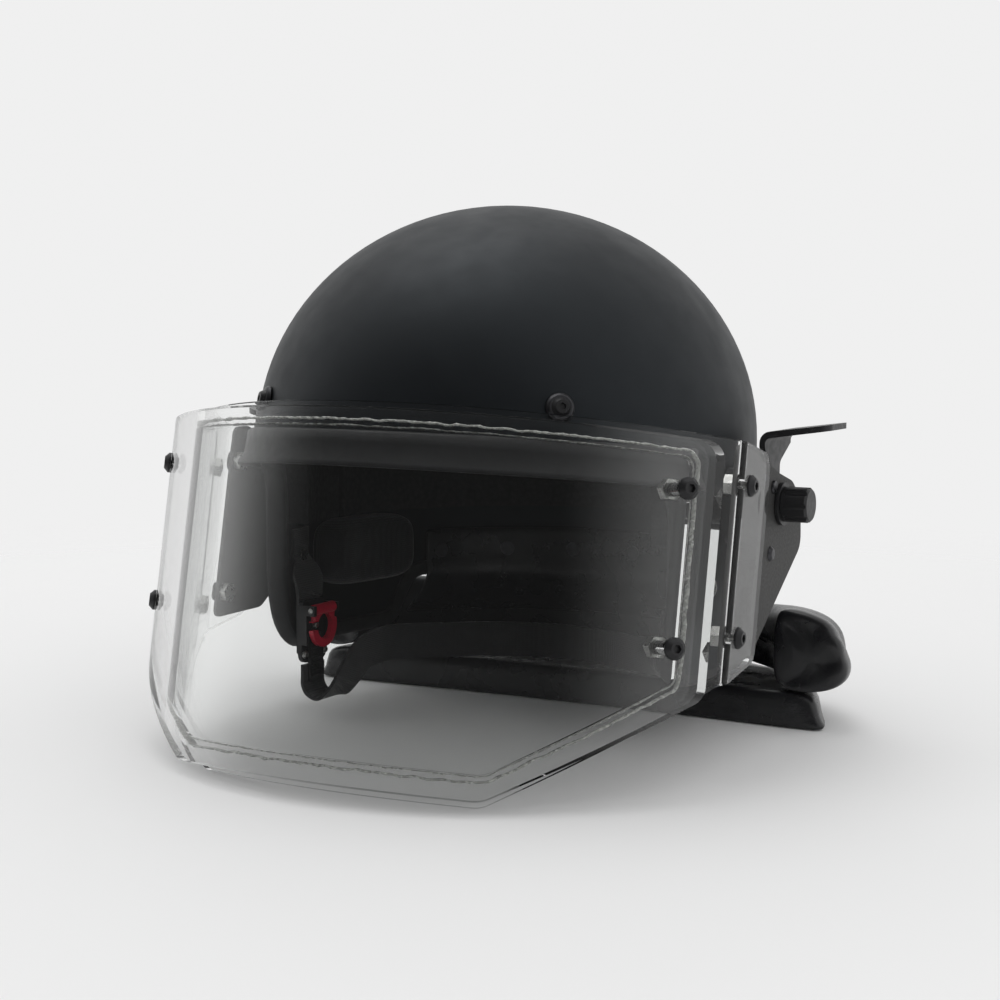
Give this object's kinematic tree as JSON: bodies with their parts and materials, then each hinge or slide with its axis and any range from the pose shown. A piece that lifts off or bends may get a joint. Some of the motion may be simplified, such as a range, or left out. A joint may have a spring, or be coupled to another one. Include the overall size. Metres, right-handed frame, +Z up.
{
  "type": "tactical helmet",
  "caption": "Ballistic helmet with a thick clear visor that swings up on side arms, a leather neck guard, a padded lining and a ratchet chin strap.",
  "frame": {"origin": "on the rest plane, under the middle of the helmet's box", "axes": "+Z up, -Y the way the wearer looks, +X the wearer's left"},
  "size_m": [0.3604, 0.3712, 0.2795],
  "materials": {
    "shell": "matt black paint over the ballistic shell",
    "edge_rubber": "matt extruded rubber edging",
    "seal_rubber": "satin moulded rubber",
    "liner_foam": "closed-cell foam",
    "pad_fabric": "brushed knit over soft foam",
    "guard_leather": "smooth black leather with a soft sheen",
    "webbing": "woven nylon webbing",
    "visor_sheet": "polished clear polycarbonate",
    "visor_glass": "polished ballistic glass with a faint green edge",
    "visor_layer": "clear bonded layer",
    "sealant": "translucent sealing bead",
    "arm_paint": "fine-textured dark grey powder coat",
    "black_steel": "blackened steel",
    "zinc_steel": "bright zinc plate",
    "black_plastic": "satin moulded plastic",
    "fibre_washer": "brown fibre",
    "red_plastic": "red moulded plastic"
  },
  "bodies": {
    "helmet": {"shell": "shell", "edge_trim": "edge_rubber", "brow_seal": "seal_rubber", "impact_liner": "liner_foam", "crown_pad": "pad_fabric", "front_pad": "pad_fabric", "rear_pad": "pad_fabric", "side_pad_left": "pad_fabric", "side_pad_right": "pad_fabric", "cheek_pad_left": "pad_fabric", "cheek_pad_right": "pad_fabric", "neck_guard": "guard_leather", "neck_guard_cushion": "guard_leather", "neck_guard_flap": "guard_leather", "neck_guard_rivets": "zinc_steel", "shell_bolts": "black_steel", "cup_washers": "zinc_steel", "shell_nuts": "zinc_steel", "pivot_base_left": "black_plastic", "pivot_base_right": "black_plastic", "pivot_base_screws": "black_steel", "pivot_studs": "zinc_steel", "detent_rings": "zinc_steel", "friction_washers": "fibre_washer", "knob_washers": "black_plastic", "chin_strap": "webbing", "strap_left": "webbing", "strap_right": "webbing", "strap_rivets": "zinc_steel", "buckle_body": "black_plastic", "buckle_pin": "zinc_steel", "buckle_rivets": "zinc_steel"},
    "visor": {"base_sheet": "visor_sheet", "middle_plate": "visor_layer", "seal_bead": "sealant", "front_plate": "visor_glass", "front_bolts": "black_steel", "front_nuts": "zinc_steel", "side_bolts": "black_steel", "side_nuts": "zinc_steel", "arm_left": "arm_paint", "arm_right": "arm_paint", "arm_rivets": "zinc_steel", "lever_pins": "zinc_steel", "lever_springs": "zinc_steel"},
    "release_lever_left": {"release_lever_left": "black_steel"},
    "release_lever_right": {"release_lever_right": "black_steel"},
    "knob_left": {"knob_left": "black_plastic"},
    "knob_right": {"knob_right": "black_plastic"},
    "buckle_lever": {"buckle_lever": "red_plastic"},
    "ratchet_tongue": {"ratchet_tongue": "black_plastic"}
  },
  "joints": [
    {"name": "visor_swing", "type": "hinge", "parent": "helmet", "child": "visor", "pos_m": [0, 0.02687, 0.126], "axis": [-1, 0, 0], "range_deg": [0, 60]},
    {"name": "release_lever_left_turn", "type": "hinge", "parent": "visor", "child": "release_lever_left", "pos_m": [0.1467, 0.01487, 0.1355], "axis": [1, 0, 0], "range_deg": [0, 12], "stiffness_Nm_per_rad": 1, "springref_deg": -8.59},
    {"name": "release_lever_right_turn", "type": "hinge", "parent": "visor", "child": "release_lever_right", "pos_m": [-0.1467, 0.01487, 0.1355], "axis": [1, 0, 0], "range_deg": [0, 12], "stiffness_Nm_per_rad": 1, "springref_deg": -8.59},
    {"name": "knob_left_turn", "type": "hinge", "parent": "helmet", "child": "knob_left", "pos_m": [0.16, 0.02687, 0.126], "axis": [1, 0, 0], "range_deg": [-180, 180]},
    {"name": "knob_right_turn", "type": "hinge", "parent": "helmet", "child": "knob_right", "pos_m": [-0.16, 0.02687, 0.126], "axis": [1, 0, 0], "range_deg": [-180, 180]},
    {"name": "buckle_lever_turn", "type": "hinge", "parent": "helmet", "child": "buckle_lever", "pos_m": [-0.0927, -0.02613, 0.0605], "axis": [0, -1, 0], "range_deg": [0, 60], "stiffness_Nm_per_rad": 0.03, "springref_deg": -17.19},
    {"name": "tongue_slide", "type": "slide", "parent": "helmet", "child": "ratchet_tongue", "axis": [0, 0, -1], "range_m": [0, 0.008], "deforming": ["chin_strap"]}
  ]
}
